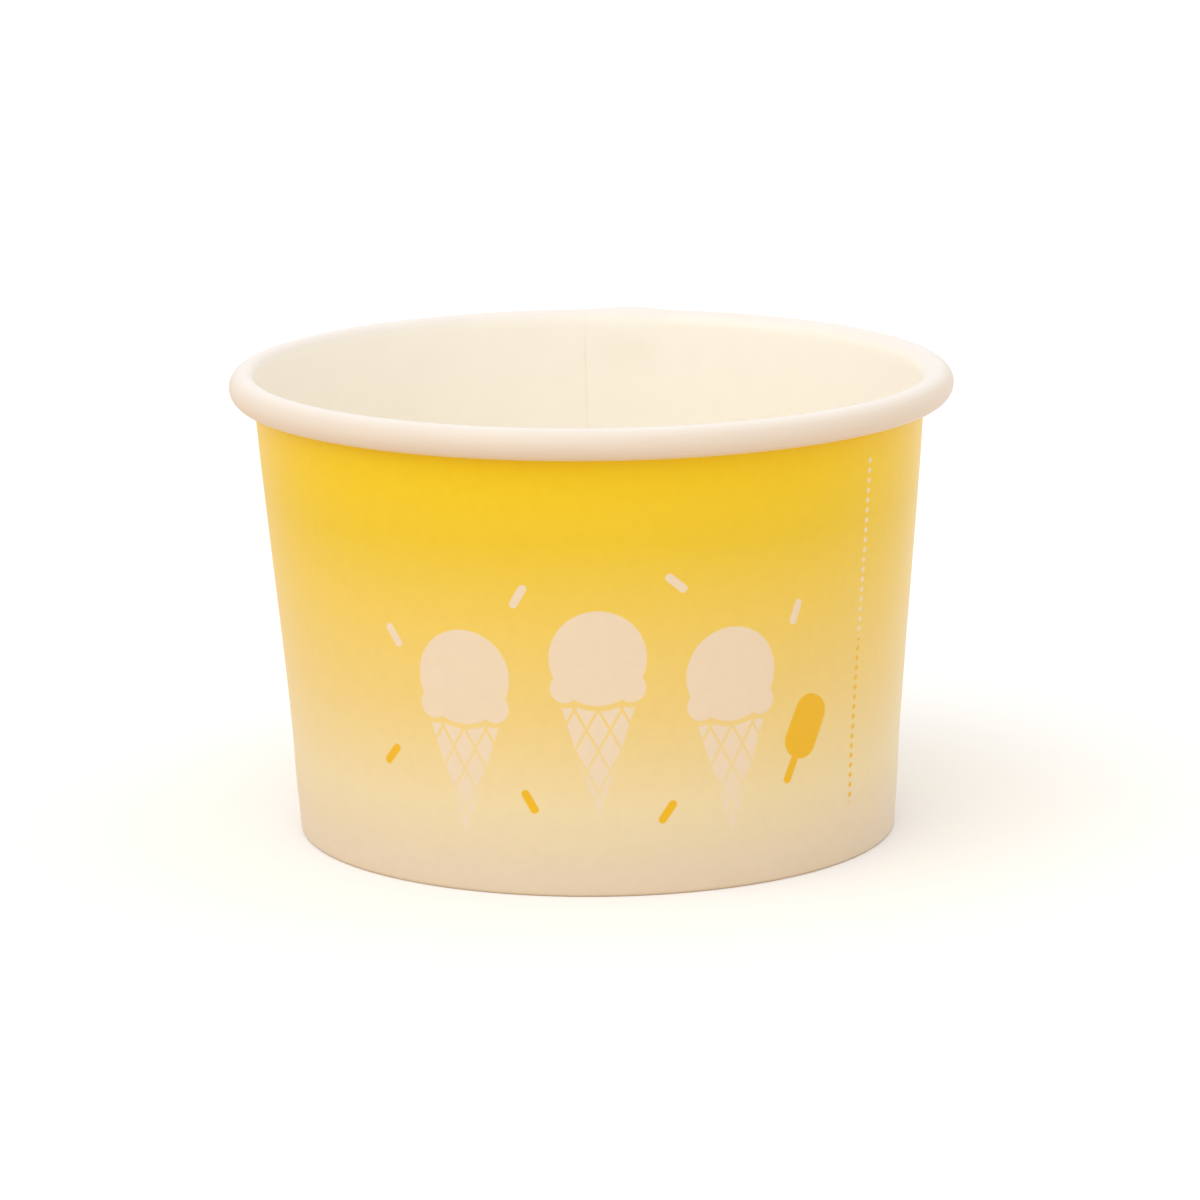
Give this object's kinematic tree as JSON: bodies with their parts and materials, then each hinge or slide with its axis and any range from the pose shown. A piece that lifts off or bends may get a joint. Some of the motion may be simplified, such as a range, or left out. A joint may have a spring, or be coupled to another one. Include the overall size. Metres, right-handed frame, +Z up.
{
  "type": "paper ice cream cup",
  "caption": "Tapered round paper cup with a rolled rim, a lap seam at the back and a bottom disc sealed into a folded hem, for serving ice cream.",
  "frame": {"origin": "on the table, under the middle of the base", "axes": "+Z up along the cup's axis, -Y towards the front of the print, the lap seam close to +Y"},
  "size_m": [0.095, 0.0954, 0.0619],
  "materials": {
    "printed_board": "satin print, yellow fading to cream, on coated cup board",
    "plain_board": "unprinted cup board with a satin food coating"
  },
  "bodies": {
    "root": {"side_wall": "printed_board", "bottom_disc": "plain_board"}
  },
  "joints": []
}
